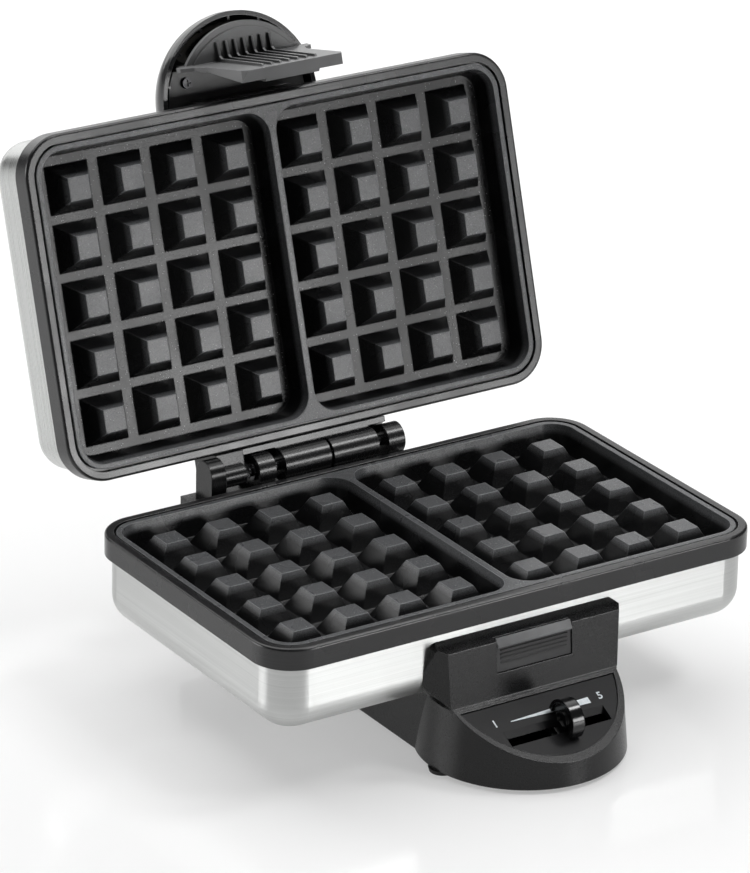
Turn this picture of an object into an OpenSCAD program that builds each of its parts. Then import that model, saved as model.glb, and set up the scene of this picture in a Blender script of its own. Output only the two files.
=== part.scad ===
// Two-slice waffle maker: a steel-skinned base and a hinged lid, each with a black bezel and a cast
// cooking plate of forty pegs, on a black pedestal housing with a heat slider and a lid catch.
// X runs left to right, Y front to back and Z up. The lid is drawn raised on its stop.

/* [Cooking plates] */
// Peg spacing across the plate
pitch_x = 27.7; // [27:0.1:28.2]
// Peg spacing front to back
pitch_y = 26.7; // [26:0.1:27.2]
// Extra space between the two waffles
half_gap = 12.4; // [11:0.1:13.5]
// Side of a peg at the mould floor
peg_base = 22.2; // [20:0.1:22.4]
// Side of a peg at its top
peg_top = 10.8; // [8:0.1:12]
// Depth of the peg tops below the parting plane
peg_drop = 2.3; // [1.5:0.1:3]
// Depth of the mould floor below the parting plane
mould_depth = 13; // [11:0.1:14]
// Width that the mould gains from floor to rim on each side
mould_draft = 3; // [2:0.1:3.4]
// Half of the rib between the two moulds, at its top
rib_half = 1.6; // [1.2:0.1:2]
// Radius of the mould floor's corners
mould_r = 8.6; // [7.5:0.1:10]
// Flat lip round the moulds
rim_lip = 2.4; // [2:0.1:3]
// Metal behind the mould floor
plate_wall = 3.2; // [2.5:0.1:4]
// Groove between the plate's edge and the bezel
rim_groove = 1.2; // [0.8:0.1:1.6]

/* [Bezels and shells] */
// Width of the bezel's face round the plate
bezel_face = 4.2; // [3.8:0.1:5]
// Height of each bezel ring
bezel_h = 10.5; // [10:0.1:12]
// Rounding of the bezel's face edge
bezel_round = 1.3; // [0.8:0.1:1.6]
// Half of the gap between the closed halves
seam = 0.3; // [0.2:0.05:0.4]
// Height of each half from the parting plane to its outer skin
shell_h = 43.5; // [42:0.5:48]
// Step from the bezel's edge in to the steel skin
shell_inset = 3.4; // [3:0.1:4]
// Radius of the skin's outer edge
shell_edge = 13; // [10:0.5:13]
// Thickness of the steel skin
shell_wall = 0.9; // [0.7:0.1:1.1]

/* [Pedestal housing] */
// Height of the parting plane above the floor
part_z = 77; // [76:0.5:84]
// Height of the rubber feet that shows
foot_h = 2; // [1.5:0.1:3]
// Radius of a rubber foot
foot_r = 6.5; // [5:0.1:7]
// Width of the pedestal under the pan
pedestal_w = 88; // [84:1:92]
// Width of the control housing's front face
front_w = 89; // [87:0.5:91]
// Width of the control housing's top where it meets the pan
shoulder_w = 96.6; // [95:0.1:99]
// Width of the control housing where it sweeps out along the pan
flare_w = 104.4; // [102:0.2:107]
// Wall of the black housings
housing_wall = 2.4; // [2:0.1:2.8]
// Radius of the control skirt level with the panel
skirt_r = 45; // [44.6:0.1:46]
// Radius of the control skirt at its foot
skirt_foot_r = 47.8; // [47:0.1:50]
// How far the control housing's face stands before the bezel's edge
front_reach = 6.4; // [6:0.1:8]
// Depth of the face's top edge below the parting plane
face_drop = 17.6; // [17:0.1:18.5]
// Depth of the panel's back edge below the base's steel skin
panel_below = 1.3; // [0.8:0.1:2.5]
// How far the face leans out from its top edge to the panel
face_lean = 1.9; // [1:0.1:2.5]
// Slope of the control panel
panel_slope = 27.5; // [26:0.5:29]

/* [Heat control] */
// Half of the slot's length
slot_half = 26.7; // [26:0.1:27.5]
// Width of the slot's bevelled mouth
slot_w = 8.2; // [7.6:0.1:9]
// Radius of the thumb disc
knob_r = 9.5; // [8.5:0.1:9.8]
// Thickness of the thumb disc
knob_t = 6.2; // [5:0.1:7]
// Travel of the thumb disc to each side of the middle
knob_travel = 20; // [18:0.5:20]
// Where the thumb disc stands, right of the middle
knob_x = 3.5; // [0:0.1:5]
// Length of the thermostat's lever, from its shaft to the drive pin at mid travel
lever_l = 30; // [29:0.5:31]
// Radius of the drive pin in the lever's fork
drive_pin_r = 2; // [1.6:0.1:2.2]
// Gap between the drive pin and the fork, which takes up the lever's arc
fork_gap = 0.9; // [0.8:0.1:1.1]

/* [Hinge] */
// Gap between the bezel's back edge and the hinge axis
hinge_gap = 11.1; // [11:0.1:13]
// Height of the hinge axis above the parting plane
hinge_z = 1.4; // [1.2:0.1:1.6]
// Middle of the row of knuckles, right of the plates' middle
hinge_x = 3; // [2:0.5:4]
// Radius of the knuckles
knuckle_r = 7.5; // [7:0.1:7.8]
// Radius of the hinge pin
pin_r = 2.5; // [2:0.1:3]
// Gap round the pin in the lid's knuckles
pin_gap = 0.08; // [0.04:0.01:0.1]
// Angle between the closed and the raised lid
open_angle = 107; // [100:1:107]
// Radius of the cable guard's rounded top
guard_r = 7; // [6.5:0.1:7.4]
// Width of the cable guard
guard_w = 8; // [8:0.5:10]

/* [Handle] */
// Radius of the handle's half-round cap
cap_r = 41.5; // [40:0.5:43]
// Height of the cap's rim above the parting plane
cap_rim_z = 25.5; // [24:0.5:27]
// Height of the cap's crown above the lid's skin
cap_rise = 4.5; // [3:0.5:6]
// Rounding of the cap's outer edge
cap_edge = 20; // [16:0.5:20]
// Wall of the cap
cap_wall = 2.2; // [1.8:0.1:2.6]
// Half width of the grip's tongue
tongue_half = 27; // [25:0.5:28]
// Thickness of the tongue at its slanted tip
tongue_t = 5.5; // [5:0.1:6.5]
// How far the tongue hangs below the parting plane
tongue_drop = 28.3; // [27.5:0.1:29]

/* [Hidden] */
$fn = 64;

// Small clearances
slide_gap = 0.3; // between pieces that pass each other
seat_gap = 0.05; // between curved pieces that rest on each other

// Outlines of the plates and bezels: all share the corner centres of the mould floor
cols = 4;
rows = 5;
floor_x = (cols - 0.5) * pitch_x + half_gap / 2 + peg_base / 2 + pitch_x - peg_base;
floor_y = (rows - 1) / 2 * pitch_y + peg_base / 2 + pitch_y - peg_base;
core_x = 2 * (floor_x - mould_r);
core_y = 2 * (floor_y - mould_r);
plate_r = mould_r + mould_draft + rim_lip;
bezel_r = plate_r + rim_groove + bezel_face;
bezel_w = core_x + 2 * bezel_r;
bezel_d = core_y + 2 * bezel_r;

// Heights measured from the parting plane into each half
plate_top = seam + 0.3; // the plate lies a little below the bezel's face
flange_t = 2.6;
flange_foot = plate_top + flange_t;
plate_back = mould_depth + plate_wall;
draft_slope = mould_draft / (mould_depth - plate_top);
cast_wall = 1.5;
boss_top = plate_back + 8;
sheet_t = 0.6;

// Steel skins
bezel_web = 2.2;
skin_tuck = 2.5; // how far the skin's edge reaches into the bezel
skin_r = bezel_r - shell_inset;
skin_x = core_x / 2 + skin_r;
skin_y = core_y / 2 + skin_r;
edge_r = min(shell_edge, skin_r - 1);
skin_screw_r = 2;
screw_gap = 0.05;

// Heaters
heater_r = 3.3;
heater_bend = 20;
heater_inset_x = 42;
heater_inset_y = 29;
heater_x = floor_x - heater_inset_x;
heater_y = floor_y - heater_inset_y;
heater_depth = plate_back + heater_r + seat_gap;
heater_gap = 36;
boss_out_x = 22;
boss_out_y = 16;
boss_x = heater_x + boss_out_x;
boss_y = heater_y + boss_out_y;
boss_r = 4;
plate_screw_r = 1.5;

// Pedestal and control housing
latch_drop = 32.4;
front_y = bezel_d / 2 + front_reach;
panel_y = front_y + face_lean;
pedestal_top = part_z - shell_h;
panel_z = pedestal_top - panel_below;
face_z = part_z - face_drop;
shoulder_z = part_z - bezel_h - 4.7;
shoulder_round = 4;
flare_z = part_z - 36; // where the sweep along the pan is widest
flare_h = 7;
shoulder_back = 10.5;
skirt_y = panel_y - 10.2;
rim_w = 2.2;
panel_t = 2.2;
panel_recess = 0.7;
ledge_w = 2;
bead_r = 0.6; // bead along the edge where the face meets the panel
back_y = bezel_d / 2 + hinge_gap + 12.4;
wing_x = 68;
wing_z = part_z - shell_h - 6;
back_top = part_z - 9;
cover_t = 2;
cavity_drop = 4.6;
fill_y = skin_y - edge_r - 1; // where the shell begins to curve up from its flat underside
front_ceiling = part_z - latch_drop - 2.3;
back_ceiling = part_z - bezel_h - 1 - housing_wall;
skirt_taper = (skirt_foot_r - skirt_r) / (panel_z - foot_h);
wall_x = pedestal_w / 2 - housing_wall;
wire_hole_r = 6;
gland_x = 20;
gland_z = 18;
gland_r = 6;
post_r = 4;
post_x = pedestal_w / 2 - 11;
shell_screw_x = post_x - 8;
shell_screw_at = [[shell_screw_x, -40], [shell_screw_x, 40]];
post_y = [-44, 66];
tap_r = 1.3;
cover_screw_r = 1.2;
feet_at = [[43, -80], [38, back_y - 13]];

// Latch
latch_half = 19.8;
latch_front = front_y + 0.7;
latch_back = front_y - 4;
latch_wing = 3.5;
latch_wing_t = 1.5;
latch_travel = 1.2;
ledge_back = front_y - 1.8;
ledge_rise = 1;
ledge_foot = part_z - 20.5;
leaf_t = 0.35;
leaf_half = 18;

// Heat control, in the sloped panel's own frame
slot_v = 20.8;
throat_w = 5.4;
throat_y = throat_w / 2 - slot_w / 2; // the throat lies along the mouth's lower edge
stem_t = 4.4;
knob_rise = 3;
carrier_z = -panel_recess - panel_t - 0.3;
carrier_t = 2.4;
lever_t = 2;
lever_z = carrier_z - carrier_t - 0.6 - lever_t;
lever_hub_r = 5;
lever_v = slot_v - lever_l;
lever_travel = 33; // slide of the knob for each radian of the lever
lever_turn = knob_x / lever_travel * 180 / PI;
fork_half = drive_pin_r + fork_gap;
fork_tip = lever_l + 8.5;
thermo_r = 10;
thermo_h = 9;
thermo_gap = 4.8;
thermo_z = lever_z - thermo_gap - thermo_h;
shaft_r = 3;

// Hinge
hinge_y = bezel_d / 2 + hinge_gap;
axis_z = part_z + hinge_z;
knuckle_w = 9;
end_x = 35.5; // middle of each end knuckle, from the hinge's middle
barrel_w = 25;
barrel_x = 13.2;
guard_x = -59;
guard_rise = 3.3;
guard_bore = 2.6;
elbow_r = 5;
elbow_bore = 3;
spigot_r = 4;
arm_y = bezel_d / 2 + 0.4;
arm_z = [bezel_h + 0.8, shell_h - 13.5];

// Handle, measured from the parting plane
cap_y = skin_y;
grip_r = cap_r - cap_wall - 2.4;
grip_z = cap_rim_z - 7.5;
grip_t = 2.2;
grip_screw_r = 1.25;
grip_screw_head_r = 2.6;
grip_post_r = 3.5;
grip_post_x = 26;
grip_post_y = cap_y + 12;
grip_back_z = cap_rim_z + 3.2; // plate that closes the cap behind the tongue
grip_back_t = 2.2;
grip_post_top = grip_back_z + grip_back_t + seat_gap;
grip_wall_t = 3;
grip_wall_low = grip_z - 5;
grip_wall_high = max(shell_h - 12.9, grip_back_z + grip_back_t);
handle_screw_x = 17;
handle_screw_z = shell_h - 17.5;
lid_screw_z = shell_h - 23.5;
root_y = 97;
root_in = root_y - 2.4;
panel_arc_r = 34;
panel_arc_rise = 1.2;
tongue_inner = front_y + 2.3;
tongue_outer = tongue_inner + tongue_t;
finger_ribs = 7;
finger_pitch = 4.7;
rib_w = 1.1;
rib_h = 1.4;
wing_half = sqrt(cap_r * cap_r - pow(root_y - cap_y, 2)) - 0.6;
tip_slope = 3.4; // the tip's inner edge lies this much higher than its outer edge
tip_chamfer = 2.6;
hook_half = 14.4;
hook_high = -19;
hook_deep = 8;
hook_lead = 3;
lens_r = 3.2;
lens_x = 9;
lens_y = cap_y + 14;

// Where the plates' centre lies, so that the origin is under the middle of the raised outline
cap_top_z = shell_h + cap_rise;
arc_y = cap_y + cap_r - cap_edge;
arc_z = cap_top_z - cap_edge;
back_reach = opened_y(arc_y, arc_z) + cap_edge;
centre_y = (skirt_y + skirt_foot_r - back_reach) / 2;

// How far back a point of the closed lid lies once the lid is raised
function opened_y(y, z) = hinge_y - (hinge_y + y) * cos(open_angle) + (z - hinge_z) * sin(open_angle);

// ---- Shared shapes ----

// A section (x outward, y up) carried round a rectangle of corner centres
module swept(cx, cy) {
  for (q = [0:3]) {
    sx = [1, -1, -1, 1][q];
    sy = [1, 1, -1, -1][q];
    translate([sx * cx / 2, sy * cy / 2, 0]) rotate(90 * q) rotate_extrude(angle = 90) children();
    rotate(90 * q) translate([(q % 2 == 0 ? cx : cy) / 2, 0, 0]) rotate([90, 0, 0])
      linear_extrude(height = q % 2 == 0 ? cy : cx, center = true) children();
  }
}

// A rounded block: the section carried round the rectangle, and the rectangle filled
module block(cx, cy, low, high) {
  swept(cx, cy) children();
  translate([-cx / 2, -cy / 2, low]) cube([cx, cy, high - low]);
}

// Section of a rounded block with one rounded outer corner at its far side
module pan_section(r, near, far, edge) {
  translate([0, near]) square([r - edge, far - near]);
  translate([0, near]) square([r, far - near - edge]);
  translate([r - edge, far - edge]) intersection() {
    circle(edge);
    square(edge);
  }
}

// Draws its children pointing down from the parting plane, or up from it
module below() { translate([0, 0, part_z]) mirror([0, 0, 1]) children(); }
module above() { translate([0, 0, part_z]) children(); }

// Raises the closed lid to its stop
module opened() {
  translate([0, hinge_y, axis_z]) rotate([-open_angle, 0, 0]) translate([0, -hinge_y, -axis_z])
    children();
}

// Puts the plates' centre where the origin wants it
module placed() { translate([0, centre_y, 0]) children(); }

// Carries a (y, z) outline along X, middled on x
module along_x(len, x = 0) {
  translate([x, 0, 0]) rotate([90, 0, 90]) linear_extrude(height = len, center = true) children();
}

// The sloped panel's frame: x to the right, y up the slope, z out of the panel
module on_panel() { translate([0, -panel_y, panel_z]) rotate([panel_slope, 0, 0]) children(); }

// A round bar along X between two stations
module bar_x(r, from, to) {
  translate([from, 0, 0]) rotate([0, 90, 0]) cylinder(r = r, h = to - from);
}

// A round bar along Y between two stations
module bar_y(r, from, to) {
  translate([0, from, 0]) rotate([-90, 0, 0]) cylinder(r = r, h = to - from);
}

// A screw that points along +Z, its head's seat at the origin
module screw(r, len, head_r, head_h) {
  cylinder(r = r, h = len);
  difference() {
    translate([0, 0, -head_h]) cylinder(r = head_r, h = head_h);
    for (a = [0, 90]) rotate(a) translate([-head_r * 0.6, -0.3, -head_h]) cube([head_r * 1.2, 0.6, 0.6]);
  }
}

// ---- Parts that both halves share ----

module skin_solid(grow = 0) {
  block(core_x, core_y, bezel_h - skin_tuck, shell_h + grow)
    pan_section(skin_r + grow, bezel_h - skin_tuck, shell_h + grow, edge_r + grow);
}

module skin() {
  difference() {
    skin_solid();
    block(core_x, core_y, 0, shell_h - shell_wall)
      pan_section(skin_r - shell_wall, 0, shell_h - shell_wall, edge_r - shell_wall);
  }
}

module bezel() {
  inner = bezel_r - bezel_face;
  swept(core_x, core_y) difference() {
    union() {
      translate([inner, seam]) square([bezel_face - bezel_round, bezel_h - seam]);
      translate([inner, seam + bezel_round]) square([bezel_face, bezel_h - seam - bezel_round]);
      translate([bezel_r - bezel_round, seam + bezel_round]) circle(bezel_round);
      translate([inner - bezel_web, flange_foot]) square([bezel_web, bezel_h - flange_foot]);
    }
    translate([skin_r - shell_wall - seat_gap, bezel_h - skin_tuck - seat_gap])
      square([shell_wall + 2 * seat_gap, skin_tuck + 1]);
  }
}

// One mould's hollow, its floor at the mould depth
module mould() {
  foot = rib_half + mould_draft;
  lead = plate_top - 1;
  translate([(foot + floor_x) / 2, 0, 0]) block(floor_x - foot - 2 * mould_r, core_y, lead, mould_depth)
    polygon([[0, lead], [mould_r + (mould_depth - lead) * draft_slope, lead],
      [mould_r, mould_depth], [0, mould_depth]]);
}

// One peg, a pyramid with its top cut off, rooted half a millimetre into the mould floor
module peg() {
  root = 0.5;
  slope = (peg_base - peg_top) / 2 / (mould_depth - peg_drop);
  low = peg_base / 2 + root * slope;
  top = peg_top / 2;
  floor_z = mould_depth + root;
  ring = [[-1, -1], [1, -1], [1, 1], [-1, 1]];
  polyhedron(
    points = concat([for (p = ring) [p[0] * top, p[1] * top, peg_drop]],
      [for (p = ring) [p[0] * low, p[1] * low, floor_z]]),
    faces = [[0, 1, 2, 3], [7, 6, 5, 4], [0, 4, 5, 1], [1, 5, 6, 2], [2, 6, 7, 3], [3, 7, 4, 0]]);
}

module at_bosses() {
  for (x = [-boss_x, boss_x], y = [-boss_y, boss_y]) translate([x, y, 0]) children();
}

module cooking_plate() {
  wall_top = mould_r + mould_draft + cast_wall;
  difference() {
    union() {
      block(core_x, core_y, plate_top, flange_foot)
        translate([0, plate_top]) square([plate_r, flange_t]);
      block(core_x, core_y, plate_top, plate_back)
        polygon([[0, plate_top], [wall_top, plate_top],
          [wall_top - (plate_back - plate_top) * draft_slope, plate_back], [0, plate_back]]);
      at_bosses() translate([0, 0, plate_back - 1]) cylinder(r = boss_r, h = boss_top - plate_back + 1);
    }
    for (s = [0, 1]) mirror([s, 0, 0]) mould();
    at_bosses() translate([0, 0, plate_back]) cylinder(r = plate_screw_r + 0.05, h = boss_top);
  }
  for (s = [-1, 1], c = [0:cols - 1], r = [0:rows - 1])
    translate([s * (half_gap / 2 + (c + 0.5) * pitch_x), (r - (rows - 1) / 2) * pitch_y, 0]) peg();
}

// A sheathed heater bent into a loop that is open at the back, with its two cold pins
module heater() {
  translate([0, 0, heater_depth]) {
    difference() {
      swept(2 * (heater_x - heater_bend), 2 * (heater_y - heater_bend))
        translate([heater_bend, 0]) circle(heater_r);
      translate([-heater_gap / 2, 0, -heater_r - 1]) cube([heater_gap, heater_y + 9, 2 * heater_r + 2]);
    }
    for (s = [0, 1]) mirror([s, 0, 0]) translate([0, heater_y, 0])
      bar_x(1.5, heater_gap / 2 - 9, heater_gap / 2 + 1);
  }
}

// A strap over the heater's tube, lying along X, with its two feet on the plate's back
module heater_clip() {
  strap_in = heater_r + 0.1;
  strap_out = strap_in + 1;
  foot_z = -heater_r - seat_gap;
  along_x(8) {
    difference() {
      circle(strap_out);
      circle(strap_in);
      translate([-strap_out - 1, -2 * strap_out]) square([2 * strap_out + 2, 2 * strap_out]);
    }
    for (s = [0, 1]) mirror([s, 0]) {
      translate([strap_in, foot_z]) square([1, -foot_z]);
      translate([strap_in, foot_z]) square([6, 1]);
    }
  }
}

module heater_clips() {
  translate([0, 0, heater_depth]) {
    for (x = [-heater_x / 2, heater_x / 2], y = [-heater_y, heater_y]) translate([x, y, 0]) heater_clip();
  }
}

// A sheet-metal tray that throws the heat back, screwed to the plate's bosses
module reflector() {
  tray_r = mould_r - 2;
  lip = 6;
  difference() {
    block(core_x, core_y, boss_top, boss_top + sheet_t) {
      translate([0, boss_top]) square([tray_r, sheet_t]);
      translate([tray_r - sheet_t, boss_top]) square([sheet_t, lip]);
    }
    at_bosses() translate([0, 0, boss_top - 1]) cylinder(r = plate_screw_r + 0.2, h = 3);
  }
}

module plate_screws() {
  at_bosses() translate([0, 0, boss_top + sheet_t]) mirror([0, 0, 1])
    screw(plate_screw_r, 7, 2.8, 1.6);
}

// ---- Base ----

module base_shell() {
  color("silver") placed() difference() {
    below() skin();
    for (p = shell_screw_at, s = [-1, 1])
      translate([s * p[0], p[1], pedestal_top - 1]) cylinder(r = skin_screw_r + screw_gap, h = 4);
    translate([0, 0, pedestal_top - 1]) cylinder(r = wire_hole_r, h = 4);
  }
}

module base_bezel() {
  color("dimgray") placed() below() bezel();
}

module lower_plate() {
  color("#2b2b2d") placed() below() cooking_plate();
}

module lower_heater() {
  color("gray") placed() below() heater();
}

module lower_heater_clips() {
  color("silver") placed() below() heater_clips();
}

module base_reflector() {
  color("lightgray") placed() below() reflector();
}

module lower_plate_screws() {
  color("gainsboro") placed() below() plate_screws();
}

// A can held flat against the back of the lower plate
module thermal_fuse() {
  can_r = 2.6;
  color("white") placed() below() translate([0, 14, plate_back]) {
    translate([0, 0, can_r + 0.6]) bar_x(can_r, -8, 8);
    translate([-8, -can_r, 0]) cube([16, 2 * can_r, 1.4]);
    for (s = [-1, 1]) translate([0, 0, can_r + 0.6]) bar_x(0.6, s * 12 - 4.5, s * 12 + 4.5);
  }
}

// Outline of the housing seen from the side
module housing_profile() {
  along_x(4 * wing_x) polygon([
    [-panel_y - (panel_z - foot_h) / tan(panel_slope), foot_h], [-panel_y, panel_z],
    [-front_y, face_z], [-front_y + shoulder_back, shoulder_z], [-fill_y, shoulder_z],
    [-fill_y, pedestal_top], [fill_y, pedestal_top], [fill_y, back_ceiling + housing_wall],
    [arm_y, back_ceiling + housing_wall], [arm_y, back_top], [back_y, back_top], [back_y, foot_h]]);
}

// The part of the housing that stands in front of the shell, carries the latch and sweeps out along the pan
module front_block() {
  half = pedestal_w / 2;
  top = shoulder_w / 2;
  wide = flare_w / 2;
  turn = shoulder_round;
  intersection() {
    translate([0, 0, panel_z - 2]) linear_extrude(height = shoulder_z - panel_z + 2)
      polygon([[-front_w / 2, -panel_y], [front_w / 2, -panel_y], [wide, -skin_y],
        [wide, 0], [-wide, 0], [-wide, -skin_y]]);
    rotate([90, 0, 0]) linear_extrude(height = 3 * front_y, center = true)
      offset(r = turn) offset(r = -2 * turn) offset(r = turn)
        polygon([[-half, panel_z - 14], [half, panel_z - 14], [half, flare_z - 8], [wide, flare_z],
          [wide, flare_z + flare_h], [top, shoulder_z], [-top, shoulder_z],
          [-wide, flare_z + flare_h], [-wide, flare_z], [-half, flare_z - 8]]);
  }
}

module housing_outside() {
  intersection() {
    union() {
      translate([0, -skirt_y, foot_h]) cylinder(r1 = skirt_foot_r, r2 = skirt_r, h = panel_z - foot_h);
      translate([-pedestal_w / 2, -skirt_y, foot_h])
        cube([pedestal_w, skirt_y + back_y, back_top - foot_h]);
      front_block();
      translate([-wing_x, fill_y, wing_z])
        cube([wing_x + pedestal_w / 2, back_y - fill_y, back_top - wing_z]);
    }
    housing_profile();
  }
}

module housing_inside() {
  lowest = -1;
  front_in = front_y - housing_wall;
  slope_drop = cavity_drop / cos(panel_slope);
  line_z = panel_z + (panel_y - front_in) * tan(panel_slope) - slope_drop;
  back_in = back_y - housing_wall;
  difference() {
    intersection() {
      union() {
        translate([0, -skirt_y, lowest]) cylinder(
          r1 = skirt_foot_r - housing_wall + (foot_h - lowest) * skirt_taper,
          r2 = skirt_r - housing_wall, h = panel_z - lowest);
        translate([-wall_x, -skirt_y, lowest]) cube([2 * wall_x, skirt_y + back_in, back_top]);
        translate([-wall_x + 2, -front_in, foot_h + 16]) cube([2 * wall_x - 4, front_in, panel_z]);
        translate([-wing_x + housing_wall, fill_y + housing_wall, wing_z + housing_wall])
          cube([wing_x, back_in - fill_y - housing_wall, back_top]);
      }
      along_x(4 * wing_x) polygon([
        [-front_in - (line_z - lowest) / tan(panel_slope), lowest], [-front_in, line_z],
        [-front_in, front_ceiling], [0, front_ceiling], [0, back_ceiling],
        [back_in, back_ceiling], [back_in, lowest]]);
    }
    below() skin_solid(housing_wall + seat_gap);
  }
}

// Where the panel lies, widened by a gap and reaching down by a depth
module panel_seat(gap, inset, low, high) {
  intersection() {
    translate([0, -skirt_y, 0]) cylinder(r = skirt_r - rim_w - inset + gap, h = part_z);
    on_panel() translate([-wing_x, -2 * wing_x - rim_w - inset + gap, low])
      cube([2 * wing_x, 2 * wing_x, high - low]);
  }
}

// Room for the catch, its side wings and its spring
module latch_room() {
  gap = 0.3;
  room_half = latch_half + latch_wing + gap;
  floor_z = part_z - latch_drop - gap;
  ledge_end = ledge_back - latch_travel - gap;
  translate([-latch_half - gap, -panel_y - 1, ledge_foot - gap])
    cube([2 * (latch_half + gap), panel_y + 1 - ledge_end, part_z - ledge_foot]);
  translate([-latch_half - gap, -panel_y - 1, floor_z])
    cube([2 * (latch_half + gap), panel_y + 1 - latch_back + latch_travel + gap, ledge_foot - floor_z]);
  translate([-room_half, -latch_back - latch_wing_t - gap, floor_z + 1.4])
    cube([2 * room_half, latch_back + latch_wing_t + gap - skin_y + 1, ledge_foot - floor_z - 1.4]);
}

module shell_screw_spots() {
  for (p = shell_screw_at, s = [-1, 1]) translate([s * p[0], p[1], 0]) children();
}

module at_posts() {
  for (y = post_y, s = [-1, 1]) translate([s * post_x, y, 0]) children();
}

module at_bracket_screws() {
  for (x = [-30, 0, 30]) translate([hinge_x + x, hinge_y + 8.6, 0]) children();
}

module pedestal_housing() {
  ceiling = pedestal_top - housing_wall;
  side_x = latch_half + latch_wing + 3;
  color("#3a3a3c") placed() difference() {
    union() {
      difference() {
        housing_outside();
        housing_inside();
        for (s = [0, 1]) mirror([s, 0, 0])
          translate([side_x, -front_y + housing_wall, front_ceiling - 1])
            cube([wall_x - side_x - 1, 5, face_z - 2 - front_ceiling]);
      }
      translate([0, -panel_y, panel_z]) bar_x(bead_r, -front_w / 2 + bead_r, front_w / 2 - bead_r);
      at_posts() translate([0, 0, foot_h + cover_t]) cylinder(r = post_r, h = ceiling - foot_h);
      at_bracket_screws() translate([0, 0, back_top - 9]) cylinder(r = 3.2, h = 8);
    }
    below() skin_solid(seat_gap);
    panel_seat(0, 0, -panel_recess - panel_t, 4);
    panel_seat(0, ledge_w, -cavity_drop - 1, 0);
    latch_room();
    at_posts() translate([0, 0, 0]) cylinder(r = cover_screw_r + screw_gap, h = 15);
    shell_screw_spots() translate([0, 0, ceiling - 1]) cylinder(r = skin_screw_r + screw_gap, h = 5);
    translate([0, 0, ceiling - 1]) cylinder(r = wire_hole_r, h = 5);
    at_bracket_screws() translate([0, 0, back_top - 8]) cylinder(r = skin_screw_r - 0.5 + screw_gap, h = 9);
    translate([gland_x, 0, gland_z]) bar_y(gland_r + seat_gap, back_y - 2 * housing_wall, back_y + 1);
    translate([guard_x, hinge_y, back_top - 4]) cylinder(r = guard_bore, h = 5);
  }
}

module bottom_cover() {
  gap = 0.5;
  vents = 5;
  color("#4a4a4c") placed() difference() {
    translate([0, 0, foot_h]) {
      translate([0, -skirt_y, 0]) cylinder(r = skirt_foot_r - housing_wall - gap, h = cover_t);
      translate([-wall_x + gap, -skirt_y, 0])
        cube([2 * (wall_x - gap), skirt_y + back_y - housing_wall - gap, cover_t]);
    }
    at_posts() translate([0, 0, foot_h - 1]) cylinder(r = cover_screw_r + 0.2, h = cover_t + 2);
    at_posts() translate([0, 0, foot_h - 1]) cylinder(r = 2.8, h = 2);
    for (i = [0:vents - 1]) translate([-12, (i - 2) * 8 + 10, foot_h - 1]) cube([24, 3, cover_t + 2]);
  }
}

module rubber_feet() {
  color("#202020") placed() for (p = feet_at, s = [-1, 1]) translate([s * p[0], p[1], 0])
    cylinder(r1 = foot_r - 0.6, r2 = foot_r, h = foot_h);
}

module cover_screws() {
  color("gainsboro") placed() at_posts() translate([0, 0, foot_h + 1]) screw(cover_screw_r, 9, 2.4, 1.4);
}

module shell_screws() {
  color("gainsboro") placed() shell_screw_spots() translate([0, 0, pedestal_top - housing_wall - seat_gap])
    screw(skin_screw_r, 6, 3.4, 2);
}

// ---- Heat control ----

module control_panel() {
  wedge_deep = 0.15;
  color("#2e2e30") placed() difference() {
    panel_seat(-slide_gap / 2, 0, -panel_recess - panel_t, -panel_recess);
    on_panel() translate([0, -slot_v, -panel_recess])
      along_x(2 * slot_half) polygon([[-slot_w / 2, 1], [slot_w / 2, 1], [slot_w / 2, 0],
        [throat_y + throat_w / 2, -panel_t], [throat_y + throat_w / 2, -panel_t - 1],
        [-slot_w / 2, -panel_t - 1]]);
    on_panel() translate([0, -12.3, -panel_recess - wedge_deep]) linear_extrude(height = 2)
      polygon([[-20.1, -0.3], [22.2, 1.8], [22.2, -1.8]]);
  }
}

module heat_knob() {
  cut_z = 0.5;
  dish = 1;
  hub_r = 4.2;
  left = -knob_t / 2;
  color("#1c1c1e") placed() on_panel() translate([knob_x, -slot_v, 0]) {
    intersection() {
      translate([0, 0, knob_rise]) difference() {
        bar_x(knob_r, left, -left);
        difference() {
          bar_x(knob_r - 1.8, left - 1, left + dish);
          bar_x(hub_r, left - 2, left + dish + 1);
        }
        bar_x(hub_r - 1.3, left - 1, left + dish);
      }
      translate([-knob_t, -knob_r, cut_z]) cube([2 * knob_t, 2 * knob_r, 2 * knob_r]);
    }
    translate([left, throat_y - stem_t / 2, carrier_z]) cube([knob_t, stem_t, knob_rise - carrier_z - 1.5]);
  }
}

module slider_carrier() {
  color("#1c1c1e") placed() on_panel() translate([knob_x, -slot_v, carrier_z - carrier_t]) {
    translate([-4, -4, 0]) cube([8, 8, carrier_t]);
    translate([0, 0, -3.2]) cylinder(r = drive_pin_r, h = 3.4);
  }
}

module thermostat_lever() {
  arm = fork_half + 1.8;
  color("gainsboro") placed() on_panel() translate([0, -lever_v, lever_z]) rotate(lever_turn) {
    difference() {
      union() {
        cylinder(r = lever_hub_r, h = lever_t);
        translate([-arm, -fork_tip, 0]) cube([2 * arm, fork_tip, lever_t]);
      }
      translate([-fork_half, -fork_tip - 1, -1]) cube([2 * fork_half, fork_tip + 1 - 26, lever_t + 2]);
    }
    translate([0, 0, -thermo_gap - 2]) cylinder(r = shaft_r, h = thermo_gap + 3);
  }
}

module thermostat_body() {
  color("#d8cfc0") placed() on_panel() translate([0, -lever_v, thermo_z]) {
    difference() {
      cylinder(r = thermo_r, h = thermo_h);
      translate([0, 0, thermo_h - 3]) cylinder(r = shaft_r + 0.1, h = 4);
    }
    for (s = [-1, 1]) translate([s * 6 - 2.5, -0.5, -5]) cube([5, 1, 6]);
  }
}

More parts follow.
